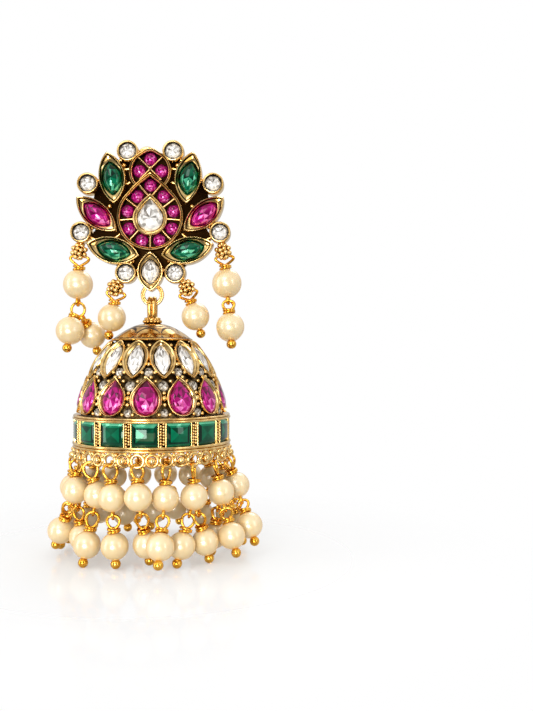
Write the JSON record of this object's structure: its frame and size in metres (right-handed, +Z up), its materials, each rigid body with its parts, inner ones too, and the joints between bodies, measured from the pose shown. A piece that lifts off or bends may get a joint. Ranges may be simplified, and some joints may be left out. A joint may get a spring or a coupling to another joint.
{
  "type": "jhumka earring",
  "caption": "Jhumka drop earring: lotus stud set with stones and pearl drops, and a bell-shaped dome with a pearl fringe that swings from a ring under the stud.",
  "frame": {"origin": "root of the ear post, in the middle of the flat back of the lotus", "axes": "+Z up along the hanging earring, +Y back through the ear lobe along the post, so -Y faces the viewer, +X to the viewer's right"},
  "size_m": [0.0387, 0.0401, 0.0754],
  "materials": {
    "antique_gold": "antique gold plate, polished on the ridges and dark in the recesses",
    "green_stone": "faceted green stone, foiled at the back",
    "ruby_stone": "faceted magenta stone, foiled at the back",
    "clear_stone": "faceted clear stone, foiled at the back",
    "clear_row": "antique gold setting with clear stones",
    "ruby_row": "antique gold setting with magenta stones",
    "green_row": "antique gold setting with green stones",
    "pearl_string": "cream imitation pearl with a satin lustre, on yellow gold wire"
  },
  "bodies": {
    "stud": {"lotus_frame": "antique_gold", "ear_post": "antique_gold", "upper_emerald_right": "green_stone", "upper_emerald_left": "green_stone", "side_ruby_right": "ruby_stone", "side_ruby_left": "ruby_stone", "lower_emerald_right": "green_stone", "lower_emerald_left": "green_stone", "base_crystal": "clear_stone", "centre_pear": "clear_stone", "round_crystal_top_right": "clear_stone", "round_crystal_top_left": "clear_stone", "round_crystal_shoulder_right": "clear_stone", "round_crystal_shoulder_left": "clear_stone", "round_crystal_side_right": "clear_stone", "round_crystal_side_left": "clear_stone", "round_crystal_base_right": "clear_stone", "round_crystal_base_left": "clear_stone", "ring_ruby_1": "ruby_stone", "ring_ruby_2": "ruby_stone", "ring_ruby_3": "ruby_stone", "ring_ruby_4": "ruby_stone", "ring_ruby_5": "ruby_stone", "ring_ruby_6": "ruby_stone", "ring_ruby_7": "ruby_stone", "ring_ruby_8": "ruby_stone", "ring_ruby_9": "ruby_stone", "crown_ruby_1": "ruby_stone", "crown_ruby_2": "ruby_stone", "crown_ruby_3": "ruby_stone", "stud_drop_outer_left": "pearl_string", "stud_drop_inner_left": "pearl_string", "stud_drop_inner_right": "pearl_string", "stud_drop_outer_right": "pearl_string"},
    "dome": {"dome_cap": "antique_gold", "crystal_row": "clear_row", "ruby_row": "ruby_row", "emerald_band": "green_row", "fringe_strand_01": "pearl_string", "fringe_strand_02": "pearl_string", "fringe_strand_03": "pearl_string", "fringe_strand_04": "pearl_string", "fringe_strand_05": "pearl_string", "fringe_strand_06": "pearl_string", "fringe_strand_07": "pearl_string", "fringe_strand_08": "pearl_string", "fringe_strand_09": "pearl_string", "fringe_strand_10": "pearl_string", "fringe_strand_11": "pearl_string", "fringe_strand_12": "pearl_string", "fringe_strand_13": "pearl_string", "fringe_strand_14": "pearl_string", "fringe_strand_15": "pearl_string", "fringe_strand_16": "pearl_string", "fringe_strand_17": "pearl_string", "fringe_strand_18": "pearl_string"}
  },
  "joints": [
    {"name": "dome_swing", "type": "hinge", "parent": "stud", "child": "dome", "pos_m": [0, 0.0006, -0.01895], "axis": [1, 0, 0], "range_deg": [-35, 35]}
  ]
}
